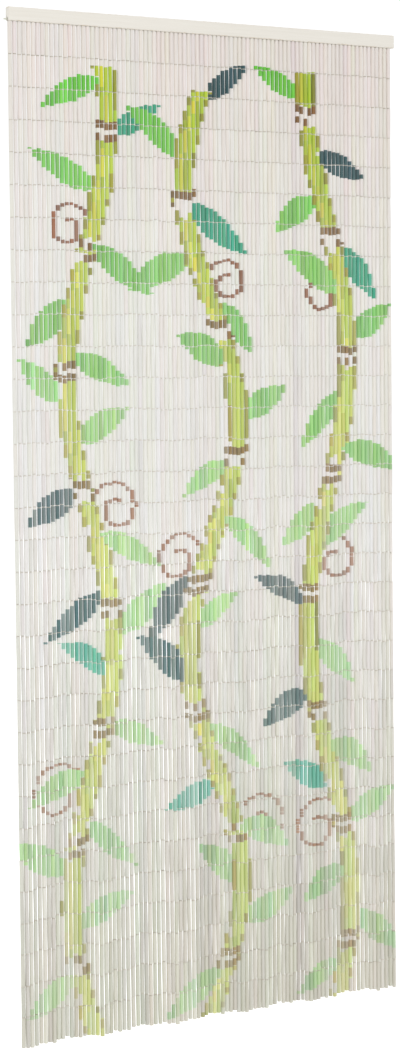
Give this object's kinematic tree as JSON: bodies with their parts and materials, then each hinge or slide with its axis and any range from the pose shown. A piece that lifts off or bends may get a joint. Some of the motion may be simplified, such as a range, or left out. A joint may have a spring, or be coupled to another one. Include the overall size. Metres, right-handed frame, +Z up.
{
  "type": "bamboo door curtain with hanging rail",
  "caption": "String door curtain of thin painted bamboo tubes, hung side by side on a steel rod in the groove of a flat wooden rail.",
  "frame": {"origin": "middle of the rail's back face, the face that is fixed to a wall or door frame", "axes": "+X along the rail, left to right as seen from the front; +Y out of the rail's back face; +Z up, with the strands hanging towards -Z"},
  "size_m": [0.9135, 0.012, 2],
  "materials": {
    "rail_paint": "thin off-white satin paint on a planed batten",
    "bamboo": "washed white bamboo tubes, painted in places in green, lime, teal and brown",
    "steel": "plain drawn wire"
  },
  "bodies": {
    "root": {"rail": "rail_paint", "hung_strands": "bamboo"}
  },
  "joints": []
}
